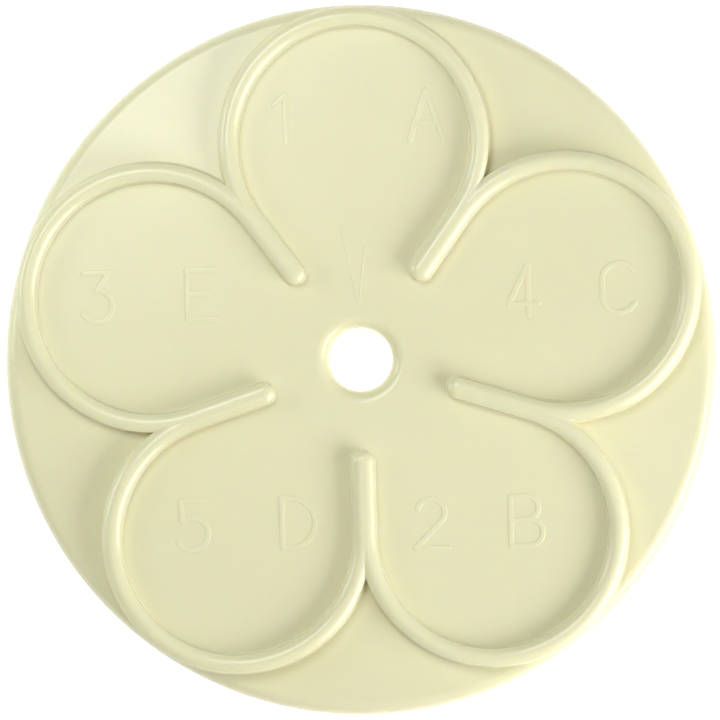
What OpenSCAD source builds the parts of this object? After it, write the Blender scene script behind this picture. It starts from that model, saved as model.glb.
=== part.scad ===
// Five-petal moulded plate: a round ivory plastic plate. Raised ribs outline five teardrop
// petals, each petal floor carries two raised index characters, and a hole with a rounded lip
// goes through the centre. The whole object is one moulding.
// Millimetres, +Z up, origin at the centre of the plane it rests on, petal "1 A" towards +Y.

/* [Plate] */
// Outside diameter of the plate
plate_d = 120; // [96:1:150]
// Height of the flat deck above the rest plane
deck_h = 6; // [5:0.1:9]
// Thickness of the deck
deck_t = 2.4; // [2:0.1:3]
// How far the zones outside the petals fall by the time they reach the rim
deck_fall = 0.9; // [0.4:0.1:1.2]
// Radius of the rounded shoulder at the rim
rim_round = 2.4; // [1.8:0.1:3]
// Thickness of the skirt under the rim
skirt_t = 2; // [1.5:0.1:3]
// Chamfer along the foot of the skirt
foot_chamfer = 0.4; // [0.2:0.1:0.6]

/* [Ribs] */
// Width of a petal's rib
rib_w = 3; // [2.4:0.1:3.6]
// Height of the ribs' crests above the deck
rib_h = 2.6; // [1.5:0.1:4]
// Height of the domed crown along the top of a rib
crown_h = 0.6; // [0.3:0.1:0.9]
// Gap between the petals' ribs and the edge of the plate
rim_gap = 0.7; // [0.5:0.1:1.5]
// Distance from a valley's centreline to each of the two petal ribs that run into it
valley_half = 0.3; // [0.2:0.05:0.5]
// Distance from the plate's centre to the round inner ends of the valley ribs
valley_r = 17.3; // [13:0.1:20]
// The same distance for the two valley ribs beside petal 1
first_valley_r = 18.2; // [13:0.1:20]

/* [Centre hole] */
// Diameter of the centre hole
bore_d = 10.8; // [8:0.1:14]
// Radius of the rounded lip around the hole
lip_round = 2.2; // [1:0.1:2.3]
// Wall of the boss that carries the hole on under the deck
boss_wall = 2.2; // [1.5:0.1:3]
// Gap between the boss and the plane that the plate rests on
boss_lift = 0.5; // [0.2:0.1:1]

/* [Index marks] */
// Height of the index characters
mark_h = 9.1; // [6:0.1:10]
// Width of a character's stroke
mark_w = 0.8; // [0.4:0.05:1]
// Height of the characters above the deck
mark_rise = 0.12; // [0.08:0.02:0.3]
// Width of the two fine lines that point at petal 1
pointer_w = 0.3; // [0.2:0.05:0.5]
// Height of the fine lines above the deck
pointer_rise = 0.06; // [0.04:0.02:0.2]

/* [Hidden] */
$fn = 96;

PETALS = 5;
PETAL_STEP = 360 / PETALS;
HALF_STEP = PETAL_STEP / 2;

plate_r = plate_d / 2;
bore_r = bore_d / 2;
lip_r = bore_r + lip_round;
under_h = deck_h - deck_t;
shoulder_r = plate_r - rim_round;
shoulder_h = deck_h - deck_fall - rim_round;
crest_h = deck_h + rib_h;

// A petal's rib is an arc that runs into the valleys beside it along their own direction.
petal_reach = plate_r - rim_gap - rib_w / 2;
petal_offset = (petal_reach + valley_half) / (1 + sin(HALF_STEP));
petal_r = petal_reach - petal_offset;
petal_arc = 180 + PETAL_STEP;
fall_r = petal_offset;

// The ribs stand in the deck down to just under the shoulder's surface at their outer edge.
rib_root_h = shoulder_h + sqrt(pow(rim_round, 2) - pow(rim_round - rim_gap, 2)) - 0.2;

// A valley's rib is a little wider and higher than the two petal ribs, whose ends it covers.
valley_w = rib_w + 2 * valley_half + 0.2;
valley_rise = 0.06;
// Each petal's rib is a hair lower than the one before, so the edges of two crowns never cross
// in a single point.
crest_step = 0.01;
valley_overlap = 4;
valley_end_r = petal_offset * cos(HALF_STEP) + valley_overlap;
// The two ends that meet in a valley run on by different angles, so they never lie in one plane.
arc_start_over = 2;
arc_end_over = 4;

// The roots of the raised marks stand this far into the deck.
mark_root = 0.5;
// Height of a character between the centrelines of its strokes
glyph_h = mark_h - mark_w;
// An arc's stroke is wider than a line's by this much, so that a line's end is buried in it.
arc_extra = 0.06;

// Each petal's two characters, clockwise from the petal at +Y: left, right, the distance
// between them, and [x, y] from the petal's centre to the middle of the pair.
MARKS = [
    ["1", "A", 24.5, [0, 4.2]],
    ["4", "C", 16, [1, -0.5]],
    ["2", "B", 16, [-2.3, 1.6]],
    ["5", "D", 17.7, [1.5, 2.3]],
    ["3", "E", 17.7, [-0.4, 0.3]],
];

// The two fine lines run from above the hole's lip to these points.
pointer_foot = [0, lip_r + 1.2];
pointer_tips = [[-2.7, 22.7], [1.4, 19.2]];

function arc_points(centre, r, from, to, steps) =
    [for (i = [0 : steps]) let (a = from + (to - from) * i / steps) centre + r * [cos(a), sin(a)]];

function crown_radius(w) = (w * w / 4 + crown_h * crown_h) / (2 * crown_h);

// Places children at each petal, with the petal's own direction along +X. $petal counts them.
module each_petal() {
    for ($petal = [0 : PETALS - 1]) rotate(90 - $petal * PETAL_STEP) children();
}

// Half section of the plate: bore, lip, deck, falling outer zone, shoulder, skirt and boss.
module plate_section() {
    polygon(concat(
        [[bore_r, boss_lift]],
        arc_points([lip_r, deck_h - lip_round], lip_round, 180, 90, 8),
        [[fall_r, deck_h]],
        arc_points([shoulder_r, shoulder_h], rim_round, 90, 0, 8),
        [
            [plate_r, foot_chamfer],
            [plate_r - foot_chamfer, 0],
            [plate_r - skirt_t, 0],
            [plate_r - skirt_t, under_h - deck_fall],
            [fall_r, under_h],
            [bore_r + boss_wall, under_h],
            [bore_r + boss_wall, boss_lift],
        ]));
}

module plate_body() {
    rotate_extrude() plate_section();
}

// Flat floors inside the petals, level with the deck out to the ribs.
module petal_floors() {
    translate([0, 0, rib_root_h])
        linear_extrude(deck_h - rib_root_h)
            each_petal() translate([petal_offset, 0]) circle(petal_r);
}

// Section of a rib of width w, centred on X, with a domed crown up to the height top.
module rib_section(w, top) {
    intersection() {
        translate([-w / 2, rib_root_h]) square([w, top - rib_root_h]);
        translate([0, top - crown_radius(w)]) circle(crown_radius(w));
    }
}

module petal_ribs() {
    each_petal()
        translate([petal_offset, 0, 0])
            rotate(-petal_arc / 2 - arc_start_over)
                rotate_extrude(angle = petal_arc + arc_start_over + arc_end_over)
                    translate([petal_r, 0])
                        rib_section(rib_w, crest_h - valley_rise - $petal * crest_step);
}

// A straight rib of this length along +X, with a round end at its start.
module valley_rib(len) {
    rotate([90, 0, 90]) linear_extrude(len) rib_section(valley_w, crest_h);
    rotate(90) rotate_extrude(angle = 180) intersection() {
        rib_section(valley_w, crest_h);
        square([valley_w, crest_h]);
    }
}

// The ribs between the petals. The first two are those beside petal 1.
module valley_ribs() {
    each_petal() {
        inner_r = $petal < 2 ? first_valley_r : valley_r;
        rotate(HALF_STEP) translate([inner_r, 0, 0]) valley_rib(valley_end_r - inner_r);
    }
}

// A raised straight stroke between two points.
module line_stroke(from, to, w = mark_w, rise = mark_rise) {
    run = to - from;
    translate([from.x, from.y, deck_h - mark_root])
        rotate(atan2(run.y, run.x))
            translate([-w / 2, -w / 2, 0])
                cube([norm(run) + w, w, mark_root + rise]);
}

// A raised stroke along a circle's arc.
module arc_stroke(centre, r, from, to) {
    w = mark_w + arc_extra;
    translate([centre.x, centre.y, 0])
        rotate(from)
            rotate_extrude(angle = to - from)
                translate([r - w / 2, deck_h - mark_root]) square([w, mark_root + mark_rise]);
}

// A line or an arc of a character, given in shares of the character's height.
module glyph_line(from, to) {
    line_stroke(glyph_h * from, glyph_h * to);
}
module glyph_arc(centre, r, from, to) {
    arc_stroke(glyph_h * centre, glyph_h * r, from, to);
}

module glyph(name) {
    if (name == "1") {
        glyph_line([0.1, -0.5], [0.1, 0.5]);
        glyph_line([0.1, 0.5], [-0.13, 0.3]);
    }
    if (name == "2") {
        glyph_arc([0, 0.22], 0.28, -35, 165);
        glyph_line([0.229, 0.059], [-0.33, -0.5]);
        glyph_line([-0.33, -0.5], [0.34, -0.5]);
    }
    if (name == "3") {
        glyph_line([-0.26, 0.5], [0.24, 0.5]);
        glyph_line([0.24, 0.5], [0, 0.14]);
        glyph_arc([-0.01, -0.18], 0.32, -150, 90);
    }
    if (name == "4") {
        glyph_line([0.1, -0.5], [0.1, 0.5]);
        glyph_line([0.1, 0.5], [-0.3, -0.27]);
        glyph_line([-0.3, -0.27], [0.3, -0.27]);
    }
    if (name == "5") {
        glyph_line([-0.25, 0.5], [0.25, 0.5]);
        glyph_line([-0.25, 0.5], [-0.22, 0.08]);
        glyph_arc([-0.03, -0.17], 0.33, -150, 128);
    }
    if (name == "A") {
        glyph_line([-0.34, -0.5], [0, 0.5]);
        glyph_line([0.34, -0.5], [0, 0.5]);
        glyph_line([-0.22, -0.16], [0.22, -0.16]);
    }
    if (name == "B") {
        glyph_line([-0.31, -0.5], [-0.31, 0.5]);
        glyph_line([-0.31, 0.5], [0, 0.5]);
        glyph_line([-0.31, 0.03], [0, 0.03]);
        glyph_line([-0.31, -0.5], [0.04, -0.5]);
        glyph_arc([0.02, 0.265], 0.235, -90, 90);
        glyph_arc([0.07, -0.235], 0.265, -90, 90);
    }
    if (name == "C") {
        glyph_arc([0.02, 0.15], 0.35, 30, 180);
        glyph_arc([0.02, -0.15], 0.35, 180, 330);
        glyph_line([-0.33, -0.12], [-0.33, 0.12]);
    }
    if (name == "D") {
        glyph_line([-0.33, -0.5], [-0.33, 0.5]);
        glyph_line([-0.33, 0.5], [-0.2, 0.5]);
        glyph_line([-0.33, -0.5], [-0.2, -0.5]);
        glyph_arc([-0.16, 0], 0.5, -90, 90);
    }
    if (name == "E") {
        glyph_line([-0.3, -0.5], [-0.3, 0.5]);
        glyph_line([-0.3, 0.5], [0.31, 0.5]);
        glyph_line([-0.3, 0.02], [0.17, 0.02]);
        glyph_line([-0.3, -0.5], [0.31, -0.5]);
    }
}

module index_marks() {
    for (k = [0 : PETALS - 1]) {
        angle = 90 - k * PETAL_STEP;
        middle = petal_offset * [cos(angle), sin(angle)] + MARKS[k][3];
        for (side = [0, 1])
            translate([middle.x + (side - 0.5) * MARKS[k][2], middle.y, 0])
                glyph(MARKS[k][side]);
    }
}

module pointer_lines() {
    for (tip = pointer_tips) line_stroke(pointer_foot, tip, pointer_w, pointer_rise);
}

module petal_plate() {
    color("#E9E5C2") {
        plate_body();
        petal_floors();
        petal_ribs();
        valley_ribs();
        index_marks();
        pointer_lines();
    }
}

petal_plate();
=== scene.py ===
"""A five-petal moulded plate in glossy ivory plastic, seen from above on a white table.

The plain CAD plate is replaced by one finely meshed moulding in the same place and of the same
size. Its face is a height function with domed ribs, filleted feet and rounded strokes, and it is
triangulated along the lines where that height bends. Lengths are in millimetres up to the point
where the mesh is made in metres.
"""

import math

import bpy
import numpy as np
from mathutils import Matrix, Vector
from mathutils.geometry import delaunay_2d_cdt


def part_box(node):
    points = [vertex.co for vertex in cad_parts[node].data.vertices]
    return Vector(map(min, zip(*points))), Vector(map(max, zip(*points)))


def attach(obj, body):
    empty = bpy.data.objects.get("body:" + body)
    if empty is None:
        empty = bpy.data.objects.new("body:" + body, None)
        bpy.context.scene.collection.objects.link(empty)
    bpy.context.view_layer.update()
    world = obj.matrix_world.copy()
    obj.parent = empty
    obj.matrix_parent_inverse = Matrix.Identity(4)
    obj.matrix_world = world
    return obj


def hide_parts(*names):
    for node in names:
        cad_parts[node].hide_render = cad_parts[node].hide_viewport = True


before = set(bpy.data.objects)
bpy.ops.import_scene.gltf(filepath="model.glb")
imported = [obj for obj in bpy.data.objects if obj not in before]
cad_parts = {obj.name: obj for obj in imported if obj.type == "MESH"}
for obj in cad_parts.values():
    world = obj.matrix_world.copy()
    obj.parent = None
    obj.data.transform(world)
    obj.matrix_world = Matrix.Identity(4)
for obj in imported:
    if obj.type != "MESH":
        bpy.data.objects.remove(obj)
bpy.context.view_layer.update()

MM = 0.001
DEG = math.pi / 180

# ---------------------------------------------------------------- sizes of the plate

LOW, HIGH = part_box("petal_plate")
PLATE_R = (HIGH.x - LOW.x) / MM / 2
CREST_H = HIGH.z / MM
RIB_H = 2.6
DECK_H = CREST_H - RIB_H
DECK_T = 2.4
DECK_FALL = 0.9
RIM_ROUND = 2.4
SKIRT_T = 2.0

RIB_HALF = 1.5
RIM_GAP = 0.7
VALLEY_HALF = 0.3
# Where the valley rib after each petal ends, counter-clockwise from the petal at +Y.
VALLEY_RS = (18.2, 17.3, 17.3, 17.3, 18.2)

BORE_R = 5.4
LIP_ROUND = 2.2
BOSS_WALL = 2.2
BOSS_LIFT = 0.5

MARK_H = 9.1
MARK_W = 0.8
MARK_RISE = 0.12
POINTER_W = 0.3
POINTER_RISE = 0.06
POINTER_GAP = 1.2

PETALS = 5
PETAL_ANGLES = [(90 + 360 / PETALS * k) * DEG for k in range(PETALS)]
HALF_STEP = math.pi / PETALS
PETAL_REACH = PLATE_R - RIM_GAP - RIB_HALF
PETAL_OFFSET = (PETAL_REACH + VALLEY_HALF) / (1 + math.sin(HALF_STEP))
PETAL_R = PETAL_REACH - PETAL_OFFSET
TANGENT_R = PETAL_OFFSET * math.cos(HALF_STEP)
TANGENT_TURN = math.pi / 2 + HALF_STEP
FALL_R = PETAL_OFFSET
SHOULDER_R = PLATE_R - RIM_ROUND
SHOULDER_H = DECK_H - DECK_FALL - RIM_ROUND
LIP_R = BORE_R + LIP_ROUND
UNDER_H = DECK_H - DECK_T

# How finely the face is meshed: steps along the lines, round rings, free points on the flats,
# and lines over each small radius and each rounded edge.
LINE_STEP = 0.6
MARK_STEP = 0.25
FILLET_LINES = 6
EDGE_RINGS = 11
RING_SEGMENTS = 288
RING_ANGLES = np.arange(RING_SEGMENTS) * 2 * math.pi / RING_SEGMENTS
GRID_STEP = 1.5
# How far the free points stay from the rounded edges, the ribs and the strokes.
EDGE_CLEAR = 0.6
RIB_CLEAR = 0.5
STROKE_CLEAR = 0.4
# Points closer than MERGE_GAP become one. A stroke's outline ends where another stroke is nearer
# by more than KEEP_GAP. A point lies on a ring if it is off by less than RING_GAP.
MERGE_GAP = 3e-5
KEEP_GAP = 1e-3
RING_GAP = 1e-4
FAR = 1e3
# The face goes down the two rounded edges to this angle, and revolved rings go on from there.
FACE_EDGE = 75 * DEG

# Each petal's two characters, counter-clockwise from the petal at +Y: left, right, the distance
# between them, and from the petal's centre to the middle of the pair.
MARKS = (
    ("1", "A", 24.5, (0.0, 4.2)),
    ("3", "E", 17.7, (-0.4, 0.3)),
    ("5", "D", 17.7, (1.5, 2.3)),
    ("2", "B", 16.0, (-2.3, 1.6)),
    ("4", "C", 16.0, (1.0, -0.5)),
)
POINTER_FOOT = (0.0, LIP_R + POINTER_GAP)
POINTER_TIPS = ((-2.7, 22.7), (1.4, 19.2))

# Strokes of each character in shares of its height: ("line", x0, y0, x1, y1), or
# ("arc", x, y, radius, from, to) with angles in degrees.
GLYPHS = {
    "1": (("line", 0.1, -0.5, 0.1, 0.5), ("line", 0.1, 0.5, -0.13, 0.3)),
    "2": (("arc", 0, 0.22, 0.28, -35, 165), ("line", 0.229, 0.059, -0.33, -0.5),
          ("line", -0.33, -0.5, 0.34, -0.5)),
    "3": (("line", -0.26, 0.5, 0.24, 0.5), ("line", 0.24, 0.5, 0, 0.14),
          ("arc", -0.01, -0.18, 0.32, -150, 90)),
    "4": (("line", 0.1, -0.5, 0.1, 0.5), ("line", 0.1, 0.5, -0.3, -0.27),
          ("line", -0.3, -0.27, 0.3, -0.27)),
    "5": (("line", -0.25, 0.5, 0.25, 0.5), ("line", -0.25, 0.5, -0.22, 0.08),
          ("arc", -0.03, -0.17, 0.33, -150, 128)),
    "A": (("line", -0.34, -0.5, 0, 0.5), ("line", 0.34, -0.5, 0, 0.5),
          ("line", -0.22, -0.16, 0.22, -0.16)),
    "B": (("line", -0.31, -0.5, -0.31, 0.5), ("line", -0.31, 0.5, 0.02, 0.5),
          ("line", -0.31, 0.03, 0.07, 0.03), ("line", -0.31, -0.5, 0.07, -0.5),
          ("arc", 0.02, 0.265, 0.235, -90, 90), ("arc", 0.07, -0.235, 0.265, -90, 90)),
    "C": (("arc", 0.02, 0.15, 0.35, 30, 180), ("arc", 0.02, -0.15, 0.35, 180, 330),
          ("line", -0.33, -0.15, -0.33, 0.15)),
    "D": (("line", -0.33, -0.5, -0.33, 0.5), ("line", -0.33, 0.5, -0.16, 0.5),
          ("line", -0.33, -0.5, -0.16, -0.5), ("arc", -0.16, 0, 0.5, -90, 90)),
    "E": (("line", -0.3, -0.5, -0.3, 0.5), ("line", -0.3, 0.5, 0.31, 0.5),
          ("line", -0.3, 0.02, 0.17, 0.02), ("line", -0.3, -0.5, 0.31, -0.5)),
}


# ---------------------------------------------------------------- points and lines

def polar(angle, r=1.0):
    """Points at these angles and this radius, as rows of x and y."""
    return np.stack([r * np.cos(angle), r * np.sin(angle)], axis=-1)


def arc(centre, r, start, end, step):
    """Points along an arc, both ends included."""
    count = max(2, math.ceil(abs(end - start) * r / step))
    return np.array(centre) + polar(np.linspace(start, end, count + 1), r)


def straight(a, b, step):
    """Points along a line, both ends included."""
    a, b = np.array(a, float), np.array(b, float)
    count = max(1, math.ceil(np.linalg.norm(b - a) / step))
    return a + np.linspace(0, 1, count + 1)[:, None] * (b - a)


def end_step(r, step):
    """The step along a round end of radius r, which is finer than step where r is small."""
    return min(step, r / 3)


def turned(points, angle):
    """Points turned about the plate's centre."""
    c, s = math.cos(angle), math.sin(angle)
    return np.asarray(points) @ np.array([[c, s], [-s, c]])


class Line:
    """The centreline of a straight stroke."""

    def __init__(self, a, b):
        self.a, self.b = np.array(a, float), np.array(b, float)
        self.run = float(np.linalg.norm(self.b - self.a))
        self.along = (self.b - self.a) / self.run

    def centreline(self, step):
        return straight(self.a, self.b, step)

    def distance(self, p):
        rel = p - self.a
        t = np.clip(rel @ self.along, 0, self.run)
        return np.linalg.norm(rel - t[:, None] * self.along, axis=1)

    def outline(self, d, step):
        """A closed outline at the distance d, with round ends."""
        side = np.array([-self.along[1], self.along[0]]) * d
        head = math.atan2(self.along[1], self.along[0])
        fine = end_step(d, step)
        return np.concatenate([
            straight(self.a - side, self.b - side, step)[:-1],
            arc(self.b, d, head - math.pi / 2, head + math.pi / 2, fine)[:-1],
            straight(self.b + side, self.a + side, step)[:-1],
            arc(self.a, d, head + math.pi / 2, head + 3 * math.pi / 2, fine)[:-1],
        ])


class Bend:
    """The centreline of a stroke along a circle's arc, from a start angle to a larger end angle."""

    def __init__(self, centre, r, start, end):
        self.c, self.r = np.array(centre, float), r
        self.start, self.end = start, end
        self.a, self.b = self.c + polar(start, r), self.c + polar(end, r)

    def centreline(self, step):
        return arc(self.c, self.r, self.start, self.end, step)

    def distance(self, p):
        rel = p - self.c
        middle, half = (self.start + self.end) / 2, (self.end - self.start) / 2
        turn = np.arctan2(rel[:, 1], rel[:, 0]) - middle
        turn = np.abs((turn + math.pi) % (2 * math.pi) - math.pi)
        ends = np.minimum(np.linalg.norm(p - self.a, axis=1), np.linalg.norm(p - self.b, axis=1))
        return np.where(turn <= half, np.abs(np.linalg.norm(rel, axis=1) - self.r), ends)

    def outline(self, d, step):
        """A closed outline at the distance d, with round ends."""
        fine = end_step(d, step)
        return np.concatenate([
            arc(self.c, self.r + d, self.start, self.end, step)[:-1],
            arc(self.b, d, self.end, self.end + math.pi, fine)[:-1],
            arc(self.c, self.r - d, self.end, self.start, step)[:-1],
            arc(self.a, d, self.start + math.pi, self.start + 2 * math.pi, fine)[:-1],
        ])


def glyph_strokes(name, middle):
    """The strokes of one character around its middle."""
    size = MARK_H - MARK_W
    middle = np.array(middle)
    strokes = []
    for kind, *share in GLYPHS[name]:
        if kind == "line":
            ends = np.array(share).reshape(2, 2) * size + middle
            strokes.append(Line(ends[0], ends[1]))
        else:
            x, y, r, start, end = share
            strokes.append(Bend(middle + size * np.array([x, y]), size * r, start * DEG, end * DEG))
    return strokes


def mark_glyphs():
    """A list of strokes for each of the ten characters."""
    glyphs = []
    for angle, (left, right, apart, shift) in zip(PETAL_ANGLES, MARKS):
        middle = polar(angle, PETAL_OFFSET) + np.array(shift)
        half = np.array([apart / 2, 0])
        glyphs += [glyph_strokes(left, middle - half), glyph_strokes(right, middle + half)]
    return glyphs


MARK_GLYPHS = mark_glyphs()
MARK_STROKES = [stroke for glyph in MARK_GLYPHS for stroke in glyph]
POINTERS = [Line(POINTER_FOOT, tip) for tip in POINTER_TIPS]


# ---------------------------------------------------------------- cross-sections

class Section:
    """Half the cross-section of a raised bead over the distance from its centreline: a crown that
    falls by dome, an edge and a foot of these radii, and between them a wall that is run wide.
    levels are the distances of the lines that the mesh follows."""

    def __init__(self, half, dome, edge, foot, run, draft):
        self.half, self.dome, self.edge, self.foot = half, dome, edge, foot
        steep = math.pi / 2 - draft
        # The crown meets the edge where both have the same tilt, found in a few rounds.
        self.crown_end = half
        for _ in range(8):
            tilt = math.atan(2 * dome * self.crown_end / half**2)
            self.crown_end = half - edge * (math.sin(steep) - math.sin(tilt))
        self.edge_d = half - edge * math.sin(steep)
        self.edge_z = -dome * (self.crown_end / half) ** 2 - edge * math.cos(tilt)
        self.foot_start = half + run
        self.reach = self.foot_start + foot * math.sin(steep)
        edge_turn = np.linspace(tilt, steep, FILLET_LINES)
        foot_turn = np.linspace(steep, 0, FILLET_LINES)
        self.levels = np.concatenate([
            self.crown_end * np.array([0.3, 0.55, 0.75]),
            self.edge_d + edge * np.sin(edge_turn),
            self.reach - foot * np.sin(foot_turn),
        ])

    def height(self, d, base, crest):
        """Height at the distance d, where the ground is at base and the crest at crest."""
        over = np.clip(d, self.edge_d, self.half) - self.edge_d
        rounded = self.edge_z + np.sqrt(self.edge**2 - over**2)
        domed = -self.dome * (d / self.half) ** 2
        upper = crest + np.where(d < self.crown_end, domed, rounded)
        left = self.reach - np.clip(d, self.foot_start, self.reach)
        lower = base + self.foot - np.sqrt(self.foot**2 - left**2)
        fall = np.clip((d - self.half) / (self.foot_start - self.half), 0, 1)
        return (1 - fall) * upper + fall * lower


RIB = Section(half=RIB_HALF, dome=0.75, edge=0.3, foot=0.4, run=0.1, draft=4 * DEG)
MARK = Section(half=MARK_W / 2, dome=0.02, edge=0.1, foot=0.08, run=0.02, draft=40 * DEG)
POINTER = Section(half=POINTER_W / 2, dome=0.02, edge=0.05, foot=0.04, run=0.01, draft=40 * DEG)


# ---------------------------------------------------------------- height of the face

def rib_distance(p):
    """Distance from the nearest petal arc, or from the strip that fills a valley between two."""
    nearest = np.full(len(p), FAR)
    for angle, valley_r in zip(PETAL_ANGLES, VALLEY_RS):
        rel = turned(p, -angle) - np.array([PETAL_OFFSET, 0])
        beside = np.abs(np.arctan2(rel[:, 1], rel[:, 0])) <= TANGENT_TURN
        off = np.abs(np.linalg.norm(rel, axis=1) - PETAL_R)
        nearest = np.minimum(nearest, np.where(beside, off, FAR))
        valley = Line((valley_r, 0), (TANGENT_R, 0)).distance(turned(p, -angle - HALF_STEP))
        nearest = np.minimum(nearest, np.maximum(valley - VALLEY_HALF, 0))
    return nearest


def stroke_distance(p, strokes):
    """Distance from the nearest of the strokes' centrelines."""
    return np.min([s.distance(p) for s in strokes], axis=0)


def ground(p):
    """Height of the plate under its ribs and marks: lip, deck, falling outer zones, shoulder."""
    r = np.linalg.norm(p, axis=1)
    inside = np.zeros(len(p), bool)
    for angle in PETAL_ANGLES:
        inside |= np.linalg.norm(p - polar(angle, PETAL_OFFSET), axis=1) < PETAL_R
    fall = np.clip((r - FALL_R) / (SHOULDER_R - FALL_R), 0, 1)
    z = DECK_H - np.where(inside, 0, DECK_FALL * fall)
    over = np.clip(r - SHOULDER_R, 0, RIM_ROUND)
    z = z - np.where(inside, 0, RIM_ROUND - np.sqrt(RIM_ROUND**2 - over**2))
    under = np.clip(LIP_R - r, 0, LIP_ROUND)
    return z - (LIP_ROUND - np.sqrt(LIP_ROUND**2 - under**2))


def face_height(p):
    """Height of the face: the highest of its ribs, characters and pointer lines."""
    base = ground(p)
    ribs = RIB.height(rib_distance(p), base, CREST_H)
    marks = MARK.height(stroke_distance(p, MARK_STROKES), base, base + MARK_RISE)
    pointers = POINTER.height(stroke_distance(p, POINTERS), base, base + POINTER_RISE)
    return np.maximum(np.maximum(ribs, marks), pointers)


def face_normals(p):
    """Unit normals of the face, from differences of its height."""
    gap = 0.004
    dx = face_height(p + [gap, 0]) - face_height(p - [gap, 0])
    dy = face_height(p + [0, gap]) - face_height(p - [0, gap])
    n = np.stack([-dx, -dy, np.full(len(p), 2 * gap)], axis=1)
    return n / np.linalg.norm(n, axis=1)[:, None]


# ---------------------------------------------------------------- lines that the mesh follows

class Net:
    """Points, and the edges between them that the triangles keep."""

    def __init__(self):
        self.points, self.edges, self.count = [], [], 0

    def add(self, points, closed=True, keep=None):
        """Adds a line. Where keep is given, an edge stays only if both its points are kept."""
        n = len(points)
        pairs = [(i, (i + 1) % n) for i in range(n if closed else n - 1)]
        if keep is not None:
            pairs = [(i, j) for i, j in pairs if keep[i] and keep[j]]
        self.points.append(np.asarray(points))
        self.edges += [(self.count + i, self.count + j) for i, j in pairs]
        self.count += n

    def scatter(self, points):
        """Adds points without edges."""
        self.points.append(points)
        self.count += len(points)


def inner_loop(d):
    """The line at the distance d inside the petals' ribs, round the inner ends of the valleys."""
    parts = []
    for angle, valley_r in zip(PETAL_ANGLES, VALLEY_RS):
        parts.append(turned(
            arc((PETAL_OFFSET, 0), PETAL_R - d, -TANGENT_TURN, TANGENT_TURN, LINE_STEP)[:-1],
            angle))
        side = VALLEY_HALF + d
        fine = end_step(side, LINE_STEP)
        parts.append(turned(np.concatenate([
            straight((TANGENT_R, -side), (valley_r, -side), LINE_STEP)[:-1],
            arc((valley_r, 0), side, -math.pi / 2, -3 * math.pi / 2, fine)[:-1],
            straight((valley_r, side), (TANGENT_R, side), LINE_STEP)[:-1],
        ]), angle + HALF_STEP))
    return np.concatenate(parts)


def outer_loop(d):
    """The line at the distance d outside the petals' ribs, from one valley to the next."""
    turn = TANGENT_TURN - math.acos((PETAL_R + VALLEY_HALF) / (PETAL_R + d))
    lobe = arc((PETAL_OFFSET, 0), PETAL_R + d, -turn, turn, LINE_STEP)[:-1]
    return np.concatenate([turned(lobe, angle) for angle in PETAL_ANGLES])


def edge_rings(middle, r, sign):
    """Rings over a rounded edge, from its top down to where the face ends."""
    radii = [middle + sign * r * math.sin(a) for a in np.linspace(0, FACE_EDGE, EDGE_RINGS)]
    return [polar(RING_ANGLES, radius) for radius in radii]


def grid_points():
    """Free points on the flat stretches, clear of every line."""
    rows = np.arange(-PLATE_R, PLATE_R, GRID_STEP * math.sqrt(3) / 2)
    columns = np.arange(-PLATE_R, PLATE_R, GRID_STEP)
    x, y = np.meshgrid(columns, rows)
    x[::2] += GRID_STEP / 2
    p = np.stack([x.ravel(), y.ravel()], axis=1)
    r = np.linalg.norm(p, axis=1)
    p = p[(r > LIP_R + EDGE_CLEAR) & (r < SHOULDER_R - EDGE_CLEAR)]
    p = p[rib_distance(p) > RIB.reach + RIB_CLEAR]
    return p[stroke_distance(p, POINTERS + MARK_STROKES) > MARK.reach + STROKE_CLEAR]


def add_rib_lines(net):
    """The ribs' lines on both sides, and the crease in the notch outside each valley."""
    net.add(inner_loop(0))
    for d in RIB.levels:
        net.add(inner_loop(d))
        net.add(outer_loop(d))
    notch = math.sqrt((PETAL_R + RIB.reach) ** 2 - (PETAL_R + VALLEY_HALF) ** 2)
    for angle in PETAL_ANGLES:
        crease = straight((TANGENT_R + VALLEY_HALF, 0), (TANGENT_R + notch, 0), LINE_STEP)
        net.add(turned(crease, angle + HALF_STEP), closed=False)


def add_stroke_lines(net):
    """The centreline and the outlines of each stroke, without edges inside its neighbours."""
    for strokes, section in [(glyph, MARK) for glyph in MARK_GLYPHS] + [(POINTERS, POINTER)]:
        for stroke in strokes:
            net.add(stroke.centreline(MARK_STEP), closed=False)
            for d in section.levels:
                line = stroke.outline(d, MARK_STEP)
                net.add(line, keep=stroke_distance(line, strokes) > d - KEEP_GAP)


def face_net():
    """Every line and point that the face's triangles start from."""
    net = Net()
    add_rib_lines(net)
    for ring in edge_rings(LIP_R, LIP_ROUND, -1) + edge_rings(SHOULDER_R, RIM_ROUND, 1):
        net.add(ring)
    add_stroke_lines(net)
    net.scatter(grid_points())
    return net


# ---------------------------------------------------------------- the moulding

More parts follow.
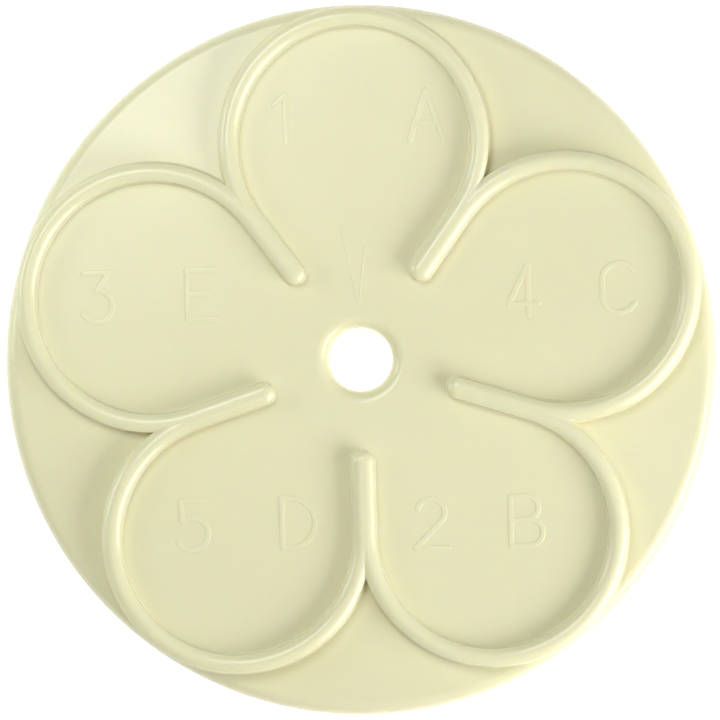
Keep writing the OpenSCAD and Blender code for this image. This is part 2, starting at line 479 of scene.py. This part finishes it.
def below_rings():
    """Radius and height of the rings that go on from the face's outer edge down the rim, under
    the plate, and up the bore to the face's inner edge."""
    foot, inner, ceiling, boss = 0.4, 0.3, 0.8, 0.25
    ceiling_end = 87

    def bend(r, z, radius, start, end, steps):
        a = np.radians(np.linspace(start, end, steps + 1))
        return np.stack([r + radius * np.cos(a), z + radius * np.sin(a)], axis=1)

    wall = PLATE_R - SKIRT_T
    wall_top = UNDER_H - DECK_FALL
    boss_r = BORE_R + BOSS_WALL
    down_to = 90 - FACE_EDGE / DEG
    return np.concatenate([
        bend(SHOULDER_R, SHOULDER_H, RIM_ROUND, down_to, 0, 3)[1:],
        bend(PLATE_R - foot, foot, foot, 0, -90, 6),
        bend(wall + inner, inner, inner, -90, -180, 4),
        bend(wall - ceiling, wall_top - ceiling, ceiling, 0, ceiling_end, 6),
        [[FALL_R, UNDER_H]],
        bend(boss_r + ceiling, UNDER_H - ceiling, ceiling, 90, 180, 6),
        bend(boss_r - boss, BOSS_LIFT + boss, boss, 0, -90, 4),
        bend(BORE_R + boss, BOSS_LIFT + boss, boss, -90, -180, 4),
        bend(LIP_R, DECK_H - LIP_ROUND, LIP_ROUND, 180, 180 - down_to, 3)[:-1],
    ])


def ring_at(points, r):
    """The face's points on the circle of radius r, in order of angle."""
    found = np.nonzero(np.abs(np.linalg.norm(points, axis=1) - r) < RING_GAP)[0]
    angle = np.arctan2(points[found, 1], points[found, 0]) % (2 * math.pi)
    # A point just below +X counts as the first one, as it does in the rings under the face.
    nudge = 1e-6
    return found[np.argsort((angle + nudge) % (2 * math.pi))]


def triangulated_face():
    """Points of the face in plan, its triangles, and its outer and inner edge loops."""
    net = face_net()
    start = [Vector(p) for p in np.concatenate(net.points)]
    found = delaunay_2d_cdt(start, net.edges, [], 0, MERGE_GAP)
    points = np.array(found[0])
    outer = ring_at(points, SHOULDER_R + RIM_ROUND * math.sin(FACE_EDGE))
    inner = ring_at(points, LIP_R - LIP_ROUND * math.sin(FACE_EDGE))
    hole = set(inner.tolist())
    faces = [tuple(f) for f in found[2] if not all(i in hole for i in f)]
    return points, faces, outer, inner


def moulding_mesh():
    """The closed mesh in metres: the face, then rings round its outside and back up the bore. The
    face's normals come from its height, and the rings keep those that their polygons give."""
    points, faces, outer, inner = triangulated_face()
    co = [np.column_stack([points, face_height(points)])]
    loops, first = [outer], len(points)
    for r, z in below_rings():
        co.append(np.column_stack([polar(RING_ANGLES, r), np.full(RING_SEGMENTS, z)]))
        loops.append(first + np.arange(RING_SEGMENTS))
        first += RING_SEGMENTS
    loops.append(inner)
    for upper, lower in zip(loops, loops[1:]):
        quads = zip(upper, lower, np.roll(lower, -1), np.roll(upper, -1))
        faces += [tuple(int(i) for i in quad) for quad in quads]
    mesh = bpy.data.meshes.new("moulded_plate")
    mesh.from_pydata((np.concatenate(co) * MM).tolist(), [], faces)
    mesh.polygons.foreach_set("use_smooth", [True] * len(mesh.polygons))
    normals = np.zeros((first, 3))
    normals[:len(points)] = face_normals(points)
    mesh.normals_split_custom_set_from_vertices(normals.tolist())
    return mesh


# ---------------------------------------------------------------- materials

IVORY_DEEP = (0.82, 0.79, 0.53)
IVORY_PALE = (0.83, 0.802, 0.55)
GLOSS_ROUGHNESS = (0.2, 0.25)
# The middle part of a noise texture's range, where nearly all of its values lie.
NOISE_RANGE = (0.3, 0.7)
TABLE_GLOW = 0.6


def new_material(name):
    """An empty node material, and its nodes, links and output."""
    material = bpy.data.materials.new(name)
    material.use_nodes = True
    nodes = material.node_tree.nodes
    nodes.clear()
    output = nodes.new("ShaderNodeOutputMaterial")
    return material, nodes, material.node_tree.links, output


def noise(nodes, links, coords, scale, detail):
    node = nodes.new("ShaderNodeTexNoise")
    node.inputs["Scale"].default_value = scale
    node.inputs["Detail"].default_value = detail
    links.new(coords, node.inputs["Vector"])
    return node.outputs["Fac"]


def ramp(nodes, links, value, colours):
    """Goes from the first colour to the second over the noise's range."""
    node = nodes.new("ShaderNodeValToRGB")
    for element, position, colour in zip(node.color_ramp.elements, NOISE_RANGE, colours):
        element.position, element.color = position, (*colour, 1)
    links.new(value, node.inputs["Fac"])
    return node.outputs["Color"]


def remap(nodes, links, value, to):
    """Goes from the first number to the second over the noise's range."""
    node = nodes.new("ShaderNodeMapRange")
    for name, number in zip(("From Min", "From Max", "To Min", "To Max"), NOISE_RANGE + to):
        node.inputs[name].default_value = number
    links.new(value, node.inputs["Value"])
    return node.outputs["Result"]


def ivory_plastic():
    """Glossy ivory plastic that lets a little light through: faint clouds in the colour, an
    uneven gloss and the slight waviness of a moulded skin."""
    material, nodes, links, output = new_material("ivory_plastic")
    shader = nodes.new("ShaderNodeBsdfPrincipled")
    shader.inputs["IOR"].default_value = 1.5
    shader.inputs["Subsurface Weight"].default_value = 0.5
    shader.inputs["Subsurface Radius"].default_value = (1.0, 0.8, 0.35)
    shader.inputs["Subsurface Scale"].default_value = 0.002
    links.new(shader.outputs["BSDF"], output.inputs["Surface"])
    coords = nodes.new("ShaderNodeTexCoord").outputs["Object"]
    clouds = noise(nodes, links, coords, scale=25, detail=1)
    links.new(ramp(nodes, links, clouds, (IVORY_DEEP, IVORY_PALE)), shader.inputs["Base Color"])
    gloss = noise(nodes, links, coords, scale=220, detail=2)
    links.new(remap(nodes, links, gloss, GLOSS_ROUGHNESS), shader.inputs["Roughness"])
    skin = noise(nodes, links, coords, scale=150, detail=1)
    bump = nodes.new("ShaderNodeBump")
    bump.inputs["Strength"].default_value = 0.25
    bump.inputs["Distance"].default_value = 0.0001
    links.new(skin, bump.inputs["Height"])
    links.new(bump.outputs["Normal"], shader.inputs["Normal"])
    return material


def white_table():
    """A matt white surface that glows enough to stay white around the plate."""
    material, nodes, links, output = new_material("white_table")
    shader = nodes.new("ShaderNodeBsdfPrincipled")
    shader.inputs["Base Color"].default_value = (0.8, 0.8, 0.8, 1)
    shader.inputs["Roughness"].default_value = 0.9
    shader.inputs["Specular IOR Level"].default_value = 0.1
    shader.inputs["Emission Color"].default_value = (1, 1, 1, 1)
    shader.inputs["Emission Strength"].default_value = TABLE_GLOW
    links.new(shader.outputs["BSDF"], output.inputs["Surface"])
    return material


# ---------------------------------------------------------------- pieces

def add_object(mesh, name):
    obj = bpy.data.objects.new(name, mesh)
    bpy.context.scene.collection.objects.link(obj)
    return obj


def add_plate():
    """The visible moulding in place of the plain CAD plate."""
    plate = add_object(moulding_mesh(), "moulded_plate")
    plate.data.materials.append(ivory_plastic())
    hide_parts("petal_plate")
    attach(plate, "root")


def add_table():
    """A plain square table, which isn't part of the object."""
    half = 3.0
    mesh = bpy.data.meshes.new("table")
    mesh.from_pydata([(-half, -half, 0), (half, -half, 0), (half, half, 0), (-half, half, 0)],
                     [], [(0, 1, 2, 3)])
    mesh.materials.append(white_table())
    table = add_object(mesh, "table")


# ---------------------------------------------------------------- light and camera

COOL = (0.93, 1.0, 1.0)
SKY = 0.23


def aim(obj, place, target=(0, 0, 0)):
    """Puts obj at place, with its -Z axis towards target."""
    turn = (Vector(target) - Vector(place)).to_track_quat("-Z", "Y").to_matrix().to_4x4()
    obj.matrix_world = Matrix.Translation(place) @ turn


def add_light(name, bearing, rise, distance, size, power, colour=(1, 1, 1)):
    """A soft light aimed at the plate from that bearing, counter-clockwise from +X, and that
    angle above the table, both in degrees. size is its width and its height."""
    light = bpy.data.lights.new(name, "AREA")
    light.shape = "ELLIPSE"
    light.size, light.size_y = size
    light.energy = power
    light.color = colour
    obj = bpy.data.objects.new(name, light)
    bpy.context.scene.collection.objects.link(obj)
    flat = distance * math.cos(rise * DEG)
    aim(obj, (flat * math.cos(bearing * DEG), flat * math.sin(bearing * DEG),
              distance * math.sin(rise * DEG)))


def add_lights():
    """A broad low key light from the lower right, a weak strip above it, two cooler fills from
    the left, and a faint even sky."""
    add_light("key_light", bearing=-30, rise=24, distance=0.45, size=(0.46, 0.2), power=1.7)
    add_light("tall_strip", bearing=-30, rise=52, distance=0.45, size=(0.1, 0.36), power=0.12)
    add_light("upper_left", bearing=128, rise=62, distance=0.35, size=(0.2, 0.2), power=0.5,
              colour=COOL)
    add_light("left_fill", bearing=165, rise=22, distance=0.45, size=(0.2, 0.12), power=0.36,
              colour=COOL)
    world = bpy.data.worlds.new("studio")
    world.use_nodes = True
    background = world.node_tree.nodes["Background"]
    background.inputs["Color"].default_value = (1, 1, 1, 1)
    background.inputs["Strength"].default_value = SKY
    bpy.context.scene.world = world


def add_camera():
    """Looks down on the plate from slightly to the right, with the plate almost filling the
    square frame."""
    distance, frame_width, sensor = 1.0, 121.7 * MM, 36.0
    tilt_right, tilt_front, roll = 2.0 * DEG, 0.7 * DEG, -1.6 * DEG
    camera = bpy.data.cameras.new("camera")
    camera.sensor_width = sensor
    camera.lens = sensor * distance / frame_width
    obj = bpy.data.objects.new("camera", camera)
    bpy.context.scene.collection.objects.link(obj)
    target_x, target_y = -0.12, -0.1
    target = Vector((target_x, target_y, SHOULDER_H)) * MM
    up = Matrix.Rotation(roll, 4, "Z") @ Vector((0, 1, 0))
    back = Vector((math.sin(tilt_right), -math.sin(tilt_front), 1)).normalized()
    right = up.cross(back).normalized()
    turn = Matrix((right, back.cross(right), back)).transposed().to_4x4()
    obj.matrix_world = Matrix.Translation(target + distance * back) @ turn
    bpy.context.scene.camera = obj


add_camera()
add_plate()
add_table()
add_lights()
bpy.context.scene.view_settings.view_transform = "Standard"
